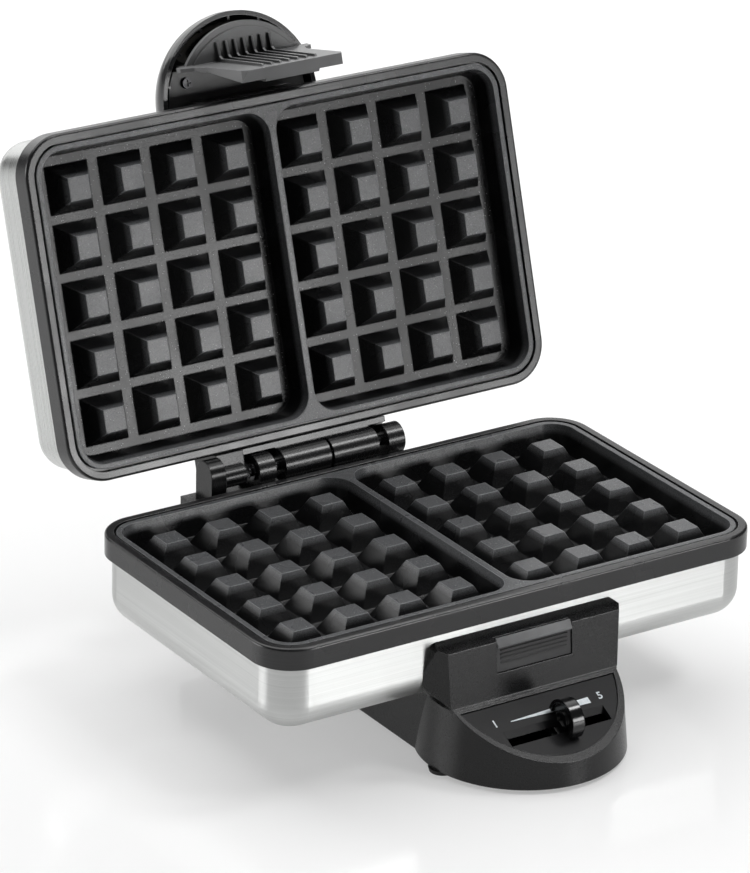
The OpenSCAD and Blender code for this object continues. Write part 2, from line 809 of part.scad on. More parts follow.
// A strap across the housing that the thermostat hangs from
module thermostat_bracket() {
  strap_t = 1.2;
  color("silver") placed() on_panel() translate([0, -lever_v, thermo_z + thermo_h]) difference() {
    translate([-wall_x, -7, 0]) cube([2 * wall_x, 14, strap_t]);
    translate([0, 0, -1]) cylinder(r = shaft_r + 0.5, h = strap_t + 2);
  }
}

// ---- Latch ----

module latch_catch() {
  ridges = 4;
  ridge_pitch = 1.9;
  face_in = latch_front - 1.2;
  low = part_z - latch_drop;
  ridge_top = ledge_foot - 1.8;
  color("#5d5d5f") placed() {
    along_x(2 * latch_half) polygon([[-ledge_back, ledge_foot - 1], [-ledge_back, face_z + ledge_rise],
      [-ledge_back - 0.6, face_z + ledge_rise], [-latch_front, ledge_foot + 1],
      [-latch_front, ledge_foot], [-face_in, ledge_foot - 0.4], [-latch_front + 0.2, low],
      [-latch_back, low], [-latch_back, ledge_foot - 1]]);
    for (i = [0:ridges - 1])
      translate([-latch_half + ledge_w, -latch_front + 0.3, ridge_top - ridge_pitch * i - 0.4])
        cube([2 * (latch_half - ledge_w), 1.5, 0.8]);
    translate([-latch_half - latch_wing, -latch_back - latch_wing_t, low + 2])
      cube([2 * (latch_half + latch_wing), latch_wing_t, ledge_foot - low - 3]);
  }
}

// A bent strip between the catch and the shell
module latch_spring() {
  gap = 0.1;
  rise = latch_back - skin_y - 2 * gap;
  leaf_r = (leaf_half * leaf_half + rise * rise) / (2 * rise);
  color("lightsteelblue") placed() translate([0, -latch_back + gap + leaf_r, part_z - latch_drop + 4])
    linear_extrude(height = 6) intersection() {
      difference() {
        circle(r = leaf_r, $fn = 128);
        circle(r = leaf_r - leaf_t, $fn = 128);
      }
      translate([-leaf_half, -leaf_r]) square([2 * leaf_half, rise]);
    }
}

// ---- Hinge and cord ----

// A round bar along the hinge's axis
module axis_bar(r, from, to) { translate([0, hinge_y, axis_z]) bar_x(r, from, to); }

module hinge_bracket() {
  plate_t = 2;
  plate_half = end_x + knuckle_w / 2;
  color("#4c4c50") placed() difference() {
    union() {
      translate([hinge_x - plate_half, hinge_y - 7, back_top]) cube([2 * plate_half, 18.8, plate_t]);
      for (s = [-1, 1]) translate([hinge_x + s * end_x, 0, 0]) {
        axis_bar(knuckle_r, -knuckle_w / 2, knuckle_w / 2);
        translate([-knuckle_w / 2, hinge_y - 6, back_top]) cube([knuckle_w, 12, axis_z - back_top]);
      }
    }
    axis_bar(pin_r + seat_gap, hinge_x - 2 * end_x, hinge_x + 2 * end_x);
    at_bracket_screws() translate([0, 0, back_top - 1]) cylinder(r = skin_screw_r - 0.3, h = 4);
  }
}

module bracket_screws() {
  color("gainsboro") placed() at_bracket_screws() translate([0, 0, back_top + 2]) mirror([0, 0, 1])
    screw(skin_screw_r - 0.5, 9, 2.6, 1.5);
}

module hinge_pin() {
  end = end_x + knuckle_w / 2;
  color("silver") placed() difference() {
    axis_bar(pin_r, hinge_x - end - 2.4, hinge_x + end + 2.4);
    for (s = [-1, 1]) difference() {
      axis_bar(pin_r + 1, hinge_x + s * (end + 0.8) - 0.5, hinge_x + s * (end + 0.8) + 0.5);
      axis_bar(pin_r - 0.5, hinge_x + s * (end + 0.8) - 1, hinge_x + s * (end + 0.8) + 1);
    }
  }
}

module pin_clips() {
  end = end_x + knuckle_w / 2;
  color("silver") placed() for (s = [-1, 1]) translate([hinge_x + s * (end + 0.8), 0, 0]) difference() {
    axis_bar(pin_r + 2, -0.4, 0.4);
    axis_bar(pin_r - 0.45, -1, 1);
    translate([-1, hinge_y - 1.2, axis_z - pin_r - 3]) cube([2, 2.4, pin_r + 3]);
  }
}

module cable_guard() {
  low = guard_x - guard_w / 2;
  color("#333336") placed() difference() {
    union() {
      translate([0, 0, guard_rise]) axis_bar(guard_r, low, low + guard_w);
      translate([low, hinge_y - guard_r, back_top])
        cube([guard_w, 2 * guard_r, axis_z + guard_rise - back_top]);
    }
    axis_bar(spigot_r + pin_gap, guard_x - 3, low + guard_w + 1);
    translate([guard_x, hinge_y, back_top - 1]) cylinder(r = guard_bore, h = axis_z - back_top + 1);
  }
}

module cord_gland() {
  bore = 3.6;
  out = back_y + 10;
  color("#262628") placed() translate([gland_x, 0, gland_z]) difference() {
    union() {
      bar_y(gland_r, back_y - housing_wall - 3, out);
      bar_y(gland_r + 2.5, back_y, back_y + 2.5);
      bar_y(gland_r + 2, back_y - housing_wall - 3, back_y - housing_wall);
    }
    bar_y(bore, 0, out + 1);
    for (i = [0:2]) difference() {
      bar_y(gland_r + 1, back_y + 4 + 2 * i, back_y + 5 + 2 * i);
      bar_y(gland_r - 1, back_y, out);
    }
  }
}

module terminal_block() {
  ways = 3;
  color("ivory") placed() translate([gland_x - 20, back_y - 34, foot_h + cover_t]) difference() {
    translate([-15, -8, 0]) cube([30, 16, 11]);
    for (i = [0:ways - 1]) translate([(i - 1) * 9, 0, 5]) cylinder(r = 2, h = 7);
    for (i = [0:ways - 1]) translate([(i - 1) * 9, 0, 5]) bar_y(1.8, -9, 9);
  }
}

// ---- Lid ----

module lid_screw_spots() {
  for (x = [-22.5, 0, 22.5]) translate([hinge_x + x, 0, part_z + lid_screw_z]) children();
}

module handle_screw_spots() {
  for (s = [-1, 1]) translate([s * handle_screw_x, 0, part_z + handle_screw_z]) children();
}

elbow_x = (guard_x + guard_w / 2 + hinge_x - end_x - knuckle_w / 2) / 2;
shroud_to = hinge_x - end_x - knuckle_w / 2 - 3.2; // end of the elbow's side towards the pin
elbow_z = part_z + shell_h - 21.5;

module lid_shell() {
  color("silver") placed() opened() difference() {
    above() skin();
    lid_screw_spots() bar_y(skin_screw_r + screw_gap, skin_y - 3, skin_y + 3);
    handle_screw_spots() bar_y(skin_screw_r + screw_gap, -skin_y - 3, -skin_y + 3);
    translate([elbow_x, 0, elbow_z]) bar_y(elbow_bore, skin_y - 3, skin_y + 3);
  }
}

module lid_bezel() {
  color("#2b2b2d") placed() opened() above() bezel();
}

module upper_plate() {
  color("#2b2b2d") placed() opened() above() cooking_plate();
}

module upper_heater() {
  color("gray") placed() opened() above() heater();
}

module upper_heater_clips() {
  color("silver") placed() opened() above() heater_clips();
}

module lid_reflector() {
  color("lightgray") placed() opened() above() reflector();
}

module upper_plate_screws() {
  color("gainsboro") placed() opened() above() plate_screws();
}

module lid_hinge_arm() {
  flange_half = 27;
  flange_t = 3;
  head_r = 3.4;
  flange_in = skin_y + seat_gap;
  flange_out = flange_in + flange_t;
  low = part_z + arm_z[0];
  high = part_z + arm_z[1];
  wall_from = shroud_to + slide_gap;
  wall_to = hinge_x + end_x;
  color("#2f2f32") placed() opened() difference() {
    union() {
      translate([hinge_x - flange_half, flange_in, low]) cube([2 * flange_half, flange_t, high - low]);
      for (s = [-1, 1]) translate([hinge_x + s * barrel_x, 0, 0])
        axis_bar(knuckle_r, -barrel_w / 2, barrel_w / 2);
      along_x(wall_to - wall_from, (wall_to + wall_from) / 2) polygon([[arm_y, axis_z + 1], [arm_y, low],
        [flange_in + 1, low], [flange_in + 1, high - 1], [flange_out, high - 1],
        [hinge_y - 1, axis_z + knuckle_r - 1], [hinge_y - 1, axis_z + 1]]);
    }
    for (s = [-1, 1]) translate([hinge_x + s * (barrel_x + barrel_w / 2 + end_x), 0, 0])
      axis_bar(knuckle_r + 0.6, -end_x, end_x);
    axis_bar(pin_r + pin_gap, hinge_x - end_x, hinge_x + end_x);
    lid_screw_spots() bar_y(skin_screw_r + 0.2, skin_y - 1, skin_y + 2 * flange_t);
    lid_screw_spots() bar_y(head_r, flange_out, hinge_y + knuckle_r);
  }
}

module hinge_arm_screws() {
  color("gainsboro") placed() opened() lid_screw_spots() translate([0, skin_y + seat_gap + 3, 0])
    rotate([90, 0, 0]) screw(skin_screw_r, 6, 3, 1.8);
}

// Carries the wires from the cable guard into the lid
module wire_elbow() {
  tube_from = guard_x + guard_w / 2 + slide_gap;
  tube_to = 2 * elbow_x - tube_from - 5;
  low = part_z + arm_z[0];
  color("#262628") placed() opened() difference() {
    union() {
      axis_bar(elbow_r, tube_from, tube_to);
      axis_bar(spigot_r, guard_x - 2.6, tube_from + 1);
      translate([elbow_x - 2.5, hinge_y, axis_z]) cylinder(r = elbow_r, h = elbow_z - axis_z);
      translate([elbow_x - 2.5, hinge_y, elbow_z]) sphere(r = elbow_r);
      translate([elbow_x - 2.5, 0, elbow_z]) bar_y(elbow_r, skin_y + seat_gap, hinge_y);
      translate([elbow_x - 2.5, 0, elbow_z]) bar_y(elbow_r + 2, skin_y + seat_gap, skin_y + 2);
      along_x(shroud_to - tube_from, (shroud_to + tube_from) / 2) polygon([[arm_y, axis_z], [arm_y, low],
        [skin_y + seat_gap, low], [skin_y + seat_gap, elbow_z], [hinge_y, elbow_z], [hinge_y, axis_z]]);
    }
    axis_bar(elbow_bore - 0.4, guard_x - 4, elbow_x - 2.5);
    translate([elbow_x - 2.5, hinge_y, axis_z]) cylinder(r = elbow_bore - 0.4, h = elbow_z - axis_z);
    translate([elbow_x - 2.5, 0, elbow_z]) bar_y(elbow_bore - 0.4, skin_y - 1, hinge_y);
  }
}

// ---- Handle ----

// A dome about the cap's middle, its outer edge rounded
module dome(r, low, high, edge) {
  rotate_extrude() pan_section(r, low, high, edge);
}

module at_grip_posts() {
  for (s = [-1, 1]) translate([s * grip_post_x, -grip_post_y, 0]) children();
}

module at_lenses() {
  for (s = [-1, 1]) translate([s * lens_x, -lens_y, 0]) children();
}

module handle_cap() {
  inner_top = cap_top_z - cap_wall;
  gusset_h = 4;
  color("#1f1f22") placed() opened() above() difference() {
    union() {
      translate([0, -cap_y, 0]) difference() {
        dome(cap_r, cap_rim_z, cap_top_z, cap_edge);
        translate([0, 0, -1]) dome(cap_r - cap_wall, cap_rim_z, inner_top + 1, cap_edge - cap_wall);
      }
      for (a = [-72, -48, -24, 0, 24, 48, 72]) translate([0, -cap_y, cap_rim_z + 0.8]) rotate(a - 90)
        translate([cap_r - cap_wall - 2, -0.6, 0]) cube([cap_wall + 1, 1.2, gusset_h]);
      intersection() {
        at_grip_posts() translate([0, 0, grip_post_top]) cylinder(r = grip_post_r, h = cap_top_z);
        translate([0, -cap_y, 0]) dome(cap_r - 1, cap_rim_z, cap_top_z - 1, cap_edge - 1);
      }
    }
    skin_solid(seat_gap);
    at_lenses() translate([0, 0, inner_top - 2]) cylinder(r = lens_r + screw_gap, h = cap_wall + 4);
    at_grip_posts() translate([0, 0, grip_post_top - 1]) cylinder(r = grip_screw_r + screw_gap, h = 9);
  }
}

module power_lens() {
  color("#c0392b") placed() opened() above() translate([-lens_x, -lens_y, 0]) lens();
}

module ready_lens() {
  color("#27ae60") placed() opened() above() translate([lens_x, -lens_y, 0]) lens();
}

module lens() {
  seat = cap_top_z - cap_wall;
  translate([0, 0, seat - 1]) cylinder(r = lens_r + 1.2, h = 1);
  translate([0, 0, seat - 1]) cylinder(r = lens_r, h = cap_wall + 1.5);
}

module lamp_holder() {
  high = cap_top_z - cap_wall - 1;
  color("ivory") placed() opened() above() translate([0, -lens_y, 0]) difference() {
    union() {
      translate([-15, -5, high - 4]) cube([30, 10, 4]);
      for (s = [-1, 1]) translate([s * 14.5 - 0.5, -4, high - 1]) cube([1, 8, 2]);
    }
    for (s = [-1, 1]) translate([s * lens_x, 0, high - 3]) cylinder(r = 2.6, h = 4);
  }
}

// Rib that runs along the grip's panel and down the tongue, for the fingers
module finger_rib() {
  panel_low = grip_z - panel_arc_rise;
  rib_end = root_y + 8.6;
  along_x(rib_w) polygon([[-root_y + 1, grip_z], [-rib_end, grip_z], [-rib_end, panel_low - rib_h],
    [-root_y - 2, panel_low - rib_h - 1], [-root_y - 0.8, panel_low - rib_h - 2.6],
    [-tongue_outer - rib_h, -tongue_drop + 5.5], [-tongue_outer - 0.2, -tongue_drop + 4.5],
    [-tongue_outer + 1, 0]]);
}

// The tongue's outline seen from the front: wings at its root, its tip's corners cut off
module tongue_outline() {
  tip = -tongue_drop;
  side = [[tongue_half - tip_chamfer, tip - 1], [tongue_half, tip + tip_slope], [tongue_half, grip_z - 13],
    [tongue_half + 3, grip_z - 6], [wing_half, grip_z - 2.5], [wing_half, cap_rim_z]];
  translate([0, -tongue_inner, 0]) rotate([90, 0, 0]) linear_extrude(height = 2 * tongue_t)
    for (s = [0, 1]) mirror([s, 0]) polygon(concat([[-1, cap_rim_z], [-1, tip - 1]], side));
}

module grip_plate() {
  difference() {
    union() {
      translate([0, -cap_y, grip_z]) cylinder(r = grip_r, h = grip_t);
      translate([0, -cap_y, grip_z - panel_arc_rise]) cylinder(r = panel_arc_r, h = panel_arc_rise + 1);
    }
    translate([-cap_r, -root_in, 0]) cube([2 * cap_r, cap_r + root_in - cap_y, cap_top_z]);
  }
  intersection() {
    translate([0, -cap_y, 0]) cylinder(r = grip_r, h = cap_top_z);
    union() {
      translate([-cap_r, -root_y, grip_z]) cube([2 * cap_r, root_y - root_in, grip_back_z + 1 - grip_z]);
      translate([-cap_r, -root_y, grip_back_z])
        cube([2 * cap_r, root_y - skin_y - seat_gap, grip_back_t]);
    }
  }
}

module handle_grip() {
  tip = -tongue_drop;
  hook_y = latch_front + slide_gap;
  wall_y = skin_y + seat_gap;
  color("#26262a") placed() opened() above() difference() {
    union() {
      grip_plate();
      translate([-tongue_half, -wall_y - grip_wall_t, grip_wall_low])
        cube([2 * tongue_half, grip_wall_t, grip_wall_high - grip_wall_low]);
      intersection() {
        along_x(2 * wing_half) polygon([[-root_in, grip_z + 1], [-root_y, grip_z + 1],
          [-root_y + 0.6, grip_z - 3], [-tongue_outer, tip], [-tongue_inner, tip + tip_slope],
          [-root_in, grip_z - 6]]);
        tongue_outline();
      }
      for (i = [0:finger_ribs - 1]) translate([(i - (finger_ribs - 1) / 2) * finger_pitch, 0, 0])
        finger_rib();
      along_x(2 * hook_half) polygon([[-tongue_inner - 1.5, hook_high], [-hook_y - 0.8, hook_high],
        [-hook_y, hook_high - hook_lead], [-hook_y, hook_high - hook_lead - 2],
        [-tongue_inner, tip + tip_slope], [-tongue_inner - 1.5, tip + tip_slope]]);
    }
    translate([0, 0, -part_z]) handle_screw_spots()
      bar_y(skin_screw_r + screw_gap, -wall_y - grip_wall_t - 1, -skin_y + grip_wall_t);
    at_grip_posts() translate([0, 0, grip_back_z - 1]) cylinder(r = grip_screw_r + 0.2, h = grip_back_t + 2);
  }
}

module handle_screws() {
  color("gainsboro") placed() opened() {
    handle_screw_spots() translate([0, -skin_y + shell_wall, 0]) rotate([90, 0, 0])
      screw(skin_screw_r, 3.6, 3.2, 1.8);
    above() at_grip_posts() translate([0, 0, grip_back_z])
      screw(grip_screw_r, grip_back_t + 6, grip_screw_head_r, 1.6);
  }
}

base_shell();
base_bezel();
lower_plate();
lower_heater();
lower_heater_clips();
base_reflector();
lower_plate_screws();
pedestal_housing();
bottom_cover();
rubber_feet();
cover_screws();
control_panel();
heat_knob();
slider_carrier();
thermostat_lever();
thermostat_body();
thermostat_bracket();
latch_catch();
latch_spring();
shell_screws();
hinge_bracket();
hinge_pin();
pin_clips();
bracket_screws();
cable_guard();
cord_gland();
terminal_block();
thermal_fuse();
lid_shell();
lid_bezel();
upper_plate();
upper_heater();
upper_heater_clips();
lid_reflector();
upper_plate_screws();
lid_hinge_arm();
hinge_arm_screws();
wire_elbow();
handle_cap();
handle_grip();
handle_screws();
power_lens();
ready_lens();
lamp_holder();
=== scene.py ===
"""Looks of the waffle maker: materials, printed marks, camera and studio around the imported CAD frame."""

import math

import bpy
from mathutils import Matrix, Vector


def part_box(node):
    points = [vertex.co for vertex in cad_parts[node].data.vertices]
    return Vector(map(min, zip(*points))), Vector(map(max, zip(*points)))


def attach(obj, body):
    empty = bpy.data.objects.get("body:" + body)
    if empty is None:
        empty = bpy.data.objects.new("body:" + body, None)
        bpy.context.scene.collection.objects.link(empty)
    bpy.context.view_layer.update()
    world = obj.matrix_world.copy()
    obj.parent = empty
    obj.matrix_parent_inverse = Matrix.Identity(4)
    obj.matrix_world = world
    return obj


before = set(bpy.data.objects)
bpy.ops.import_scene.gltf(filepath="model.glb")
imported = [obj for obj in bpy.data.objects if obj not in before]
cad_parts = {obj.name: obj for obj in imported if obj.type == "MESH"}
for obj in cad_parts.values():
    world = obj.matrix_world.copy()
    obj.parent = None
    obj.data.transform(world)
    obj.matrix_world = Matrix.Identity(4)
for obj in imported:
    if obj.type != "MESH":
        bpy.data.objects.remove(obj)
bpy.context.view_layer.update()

MM = 0.001

# ---- Places read from the frame ----
bezel_low, bezel_high = (Vector(c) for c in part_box("base_bezel"))
SEAM = 0.3 * MM  # from the lower bezel's top to the plane in which the plates meet
PLATE_MIDDLE = Vector(((bezel_low.x + bezel_high.x) / 2, (bezel_low.y + bezel_high.y) / 2,
                       bezel_high.z + SEAM))

# ---- Camera: its place measured from the middle of the plates ----
IMAGE_WIDTH = 750
CAMERA_OFFSET = Vector((-1.18959, -1.75554, 0.95301))
VIEW_AZIMUTH = math.radians(-33.46)
VIEW_ELEVATION = math.radians(23.21)
VIEW_ROLL = 0.0204  # radians
SENSOR_WIDTH = 36.0
FOCAL_PIXELS = 5142.45
CLIP_END = 50

# ---- Values shared with the CAD frame ----
UP = Vector((0, 0, 1))
LID_ANGLE = math.radians(107)
LID_OUT = Vector((0, -math.sin(LID_ANGLE), -math.cos(LID_ANGLE)))  # away from the raised lid's plate
LEDGE_FOOT = PLATE_MIDDLE.z - 21.0 * MM  # foot of the latch's ledge, above its ridges

# The control panel's slope, a point on its rim, and how far its face lies below that rim
PANEL_SLOPE = math.radians(27.5)
PANEL_RECESS = 0.7 * MM
PANEL_FACE = Vector((0, PLATE_MIDDLE.y - 88.1 * MM, PLATE_MIDDLE.z - 44.8 * MM))


# ---- Node helpers ----
SHADING_SAMPLES = 6
TURNED, FLAT = 0.90, 0.995  # cosines between the rounded and the true normal, on an edge and on a face
CLOSED, OPEN = 0.25, 0.95  # share of sky seen inside and outside a hollow, between which painted shade fades
NOISE_LOW, NOISE_HIGH = 0.3, 0.7  # the range that most of a noise falls in


class Nodes:
    """Builds one material's node tree."""

    def __init__(self, name):
        self.material = bpy.data.materials.new(name)
        self.material.use_nodes = True
        self.tree = self.material.node_tree
        self.shader = self.tree.nodes["Principled BSDF"]

    def add(self, kind, **values):
        """A new node with its properties set."""
        node = self.tree.nodes.new(kind)
        for key, value in values.items():
            setattr(node, key, value)
        return node

    def link(self, source, target):
        self.tree.links.new(source, target)

    def here(self, name="Object", tilt=0.0):
        """Object-space position or normal, turned by tilt about X."""
        socket = self.add("ShaderNodeTexCoord").outputs[name]
        if not tilt:
            return socket
        node = self.add("ShaderNodeVectorRotate", rotation_type="X_AXIS")
        node.inputs["Angle"].default_value = tilt
        self.link(socket, node.inputs["Vector"])
        return node.outputs["Vector"]

    def noise(self, scale, detail=3.0, roughness=0.5, stretch=(1, 1, 1), tilt=0.0):
        """Noise in object space, finer along the axes that stretch makes larger."""
        mapping = self.add("ShaderNodeMapping")
        mapping.inputs["Scale"].default_value = stretch
        self.link(self.here(tilt=tilt), mapping.inputs["Vector"])
        node = self.add("ShaderNodeTexNoise")
        node.inputs["Scale"].default_value = scale
        node.inputs["Detail"].default_value = detail
        node.inputs["Roughness"].default_value = roughness
        self.link(mapping.outputs["Vector"], node.inputs["Vector"])
        return node.outputs["Fac"]

    def component(self, vector, axis):
        """One coordinate of a vector socket."""
        node = self.add("ShaderNodeSeparateXYZ")
        self.link(vector, node.inputs["Vector"])
        return node.outputs[axis]

    def dot(self, vector, other):
        """Dot product of a vector socket with another socket or a fixed direction."""
        node = self.add("ShaderNodeVectorMath", operation="DOT_PRODUCT")
        self.link(vector, node.inputs[0])
        if isinstance(other, bpy.types.NodeSocket):
            self.link(other, node.inputs[1])
        else:
            node.inputs[1].default_value = other
        return node.outputs["Value"]

    def remap(self, value, low, high, to_low, to_high):
        """Carries low..high over to to_low..to_high, held at both ends."""
        node = self.add("ShaderNodeMapRange")
        node.clamp = True
        limits = {"From Min": low, "From Max": high, "To Min": to_low, "To Max": to_high}
        for key, number in limits.items():
            node.inputs[key].default_value = number
        self.link(value, node.inputs["Value"])
        return node.outputs["Result"]

    def mix(self, factor, first, second):
        """Mixes two colours (or colour sockets) by a factor socket."""
        node = self.add("ShaderNodeMix", data_type="RGBA")
        self.link(factor, node.inputs["Factor"])
        inputs = [socket for socket in node.inputs if socket.type == "RGBA"]
        for value, socket in zip((first, second), inputs):
            if isinstance(value, tuple):
                socket.default_value = (*value, 1)
            else:
                self.link(value, socket)
        return [socket for socket in node.outputs if socket.type == "RGBA"][0]

    def blotch(self, fac, first, second):
        """Mixes two colours by the middle of a noise's range."""
        return self.mix(self.remap(fac, NOISE_LOW, NOISE_HIGH, 0.0, 1.0), first, second)

    def combine(self, first, second, operation="ADD"):
        """Arithmetic on a value socket and another socket or number."""
        node = self.add("ShaderNodeMath", operation=operation)
        self.link(first, node.inputs[0])
        if isinstance(second, (int, float)):
            node.inputs[1].default_value = second
        else:
            self.link(second, node.inputs[1])
        return node.outputs[0]

    def rounded(self, radius):
        """The normal, turned along sharp edges as if they were rounded by radius."""
        bevel = self.add("ShaderNodeBevel", samples=SHADING_SAMPLES)
        bevel.inputs["Radius"].default_value = radius
        return bevel.outputs["Normal"]

    def surface(self, height, strength, distance, edge=0.0):
        """Adds a bump from a height socket, over edges rounded in the shading."""
        bump = self.add("ShaderNodeBump")
        bump.inputs["Strength"].default_value = strength
        bump.inputs["Distance"].default_value = distance
        self.link(height, bump.inputs["Height"])
        if edge:
            self.link(self.rounded(edge), bump.inputs["Normal"])
        self.link(bump.outputs["Normal"], self.shader.inputs["Normal"])

    def edges(self, radius, amount=1.0):
        """Up to amount along sharp edges, and 0 on the faces between them."""
        turn = self.dot(self.rounded(radius), self.add("ShaderNodeNewGeometry").outputs["Normal"])
        return self.remap(turn, TURNED, FLAT, amount, 0.0)

    def hollows(self, reach):
        """A mask for painted shade: 0 deep between neighbouring walls, rising to 1 out in the open."""
        shade = self.add("ShaderNodeAmbientOcclusion", samples=SHADING_SAMPLES)
        shade.inputs["Distance"].default_value = reach
        return self.remap(shade.outputs["AO"], CLOSED, OPEN, 0.0, 1.0)

    def set(self, **values):
        """Sets or links the shader's own inputs and returns the material."""
        for key, value in values.items():
            socket = self.shader.inputs[key.replace("_", " ")]
            if isinstance(value, bpy.types.NodeSocket):
                self.link(value, socket)
            elif key == "Base_Color":
                socket.default_value = (*value, 1)
            else:
                socket.default_value = value
        return self.material


# ---- Materials ----
BRUSH_LENGTHWISE, BRUSH_ACROSS = 5, 1500  # noise per metre along and across the brushing
DRAWN_LENGTHWISE, DRAWN_ACROSS = 10, 1300
# painted highlight colour along the bezels' edges
BAND_EDGE_HIGHLIGHT = (0.15, 0.15, 0.153)
BAND_BEVEL = 0.30 * MM

# The plates' coating: its sand below and on the pegs, painted shade deep between the pegs and painted
# light on their tops, a painted highlight along its edges, and painted glints
SAND_SCALE, GLINT_SCALE, PATCH_SCALE = 2300, 1300, 28
# painted glints: the pale specks' size, their share of the cells, and how squarely their faces must face
# out
GLINT_CORE, GLINT_RIM = 0.18, 0.30
GLINT_SHARE_FROM, GLINT_SHARE_TO = 0.88, 0.92
GLINT_FACING_FROM, GLINT_FACING_TO = 0.80, 0.95
# painted light on the peg tops over painted shade deep between them: where it turns, and its colours
LIT_FROM_DEPTH, LIT_TO_DEPTH = 5 * MM, 2.5 * MM  # depths below the tops of the pegs
SHADED_DEEP_DARK, SHADED_DEEP_PALE = (0.0012, 0.0012, 0.0014), (0.0130, 0.0133, 0.0140)
LIT_TOP_DARK, LIT_TOP_PALE = (0.040, 0.041, 0.043), (0.125, 0.128, 0.133)
# painted highlight: its colour and amount along the coating's edges; painted glints: their colour
COAT_EDGE_HIGHLIGHT, COAT_GLINT = (0.32, 0.33, 0.34), (0.30, 0.305, 0.31)
COAT_BEVEL, COAT_EDGE_HIGHLIGHT_AMOUNT = 0.6 * MM, 0.6

CLOUD_SCALE = 24
LEVEL_BLUR = 0.2 * MM
MOULDED_BEVEL = 0.32 * MM
# colour of the painted shade in hollows
PAINTED_SHADE_COLOUR = (0.004, 0.004, 0.004)
INK_THIN, INK_FULL = (0.62, 0.68, 0.72), (0.80, 0.84, 0.86)


def scaled(colour, factor):
    return tuple(min(1.0, part * factor) for part in colour)


def brushed_steel(name, tilt=0.0, colour=(0.545, 0.552, 0.545), rough=(0.24, 0.32), along=0.0):
    """Steel brushed along X, and round the sides; tilt turns the pattern with the lid."""
    n = Nodes(name)
    level = n.combine(n.component(n.here("Normal", tilt), "Z"), 0.0, "ABSOLUTE")
    choose = n.add("ShaderNodeMix", data_type="FLOAT")
    n.link(n.remap(level, 0.55, 0.85, 0.0, 1.0), choose.inputs["Factor"])
    sides = (BRUSH_LENGTHWISE, BRUSH_LENGTHWISE, BRUSH_ACROSS)
    top = (BRUSH_LENGTHWISE, BRUSH_ACROSS, BRUSH_LENGTHWISE)
    for socket, stretch in (("A", sides), ("B", top)):
        lines = n.noise(1.0, detail=4, roughness=0.7, stretch=stretch, tilt=tilt)
        n.link(lines, choose.inputs[socket])
    brushed = choose.outputs["Result"]
    both = n.combine(brushed, n.combine(n.noise(9.0, detail=2), 0.35, "MULTIPLY"))
    n.surface(brushed, 0.05, 0.05 * MM, edge=0.25 * MM)
    return n.set(Base_Color=n.blotch(brushed, scaled(colour, 0.88), scaled(colour, 1.05)),
                 Metallic=1.0, Anisotropic=along, Anisotropic_Rotation=0.25,
                 Roughness=n.remap(both, 0.45, 0.9, rough[0], rough[1]))


def cast_non_stick(name, plate, out):
    """Black coating on cast metal, sandy with painted glints as fine pale specks, and painted light on the
    peg tops that face out, paler than the painted shade deep between them, with a painted highlight on
    their edges.
    """
    n = Nodes(name)
    reach = max(vertex.co.dot(out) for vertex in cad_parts[plate].data.vertices)
    # painted light on the peg tops and painted shade below them, by height along out
    lit_height = n.remap(n.dot(n.here(), out), reach - LIT_FROM_DEPTH, reach - LIT_TO_DEPTH, 0.0, 1.0)
    # painted glints: pale specks only on faces that face out
    glint_facing = n.remap(n.dot(n.here("Normal"), out), GLINT_FACING_FROM, GLINT_FACING_TO, 0.0, 1.0)
    cells = n.add("ShaderNodeTexVoronoi", feature="F1")
    cells.inputs["Scale"].default_value = GLINT_SCALE
    n.link(n.here(), cells.inputs["Vector"])
    near = n.remap(cells.outputs["Distance"], GLINT_CORE, GLINT_RIM, 1.0, 0.0)
    chosen = n.add("ShaderNodeSeparateColor")
    n.link(cells.outputs["Color"], chosen.inputs["Color"])
    few = n.remap(chosen.outputs["Red"], GLINT_SHARE_FROM, GLINT_SHARE_TO, 0.0, 1.0)
    glint = n.combine(n.combine(near, few, "MULTIPLY"), glint_facing, "MULTIPLY")
    sand = n.noise(SAND_SCALE, roughness=0.65)
    mottle = n.remap(sand, 0.35, 0.7, 0.0, 1.0)
    # painted highlight: paler along the sharp edges of the peg tops
    tops = n.mix(n.edges(COAT_BEVEL, COAT_EDGE_HIGHLIGHT_AMOUNT), n.mix(mottle, LIT_TOP_DARK, LIT_TOP_PALE), COAT_EDGE_HIGHLIGHT)
    # painted shade deep down, painted light on the tops
    coat = n.mix(lit_height, n.mix(mottle, SHADED_DEEP_DARK, SHADED_DEEP_PALE), tops)
    n.surface(sand, 0.30, 0.07 * MM, edge=0.8 * MM)
    return n.set(Base_Color=n.mix(glint, coat, COAT_GLINT), Specular_IOR_Level=0.32,
                 Roughness=n.remap(n.noise(PATCH_SCALE), NOISE_LOW, NOISE_HIGH, 0.24, 0.31))


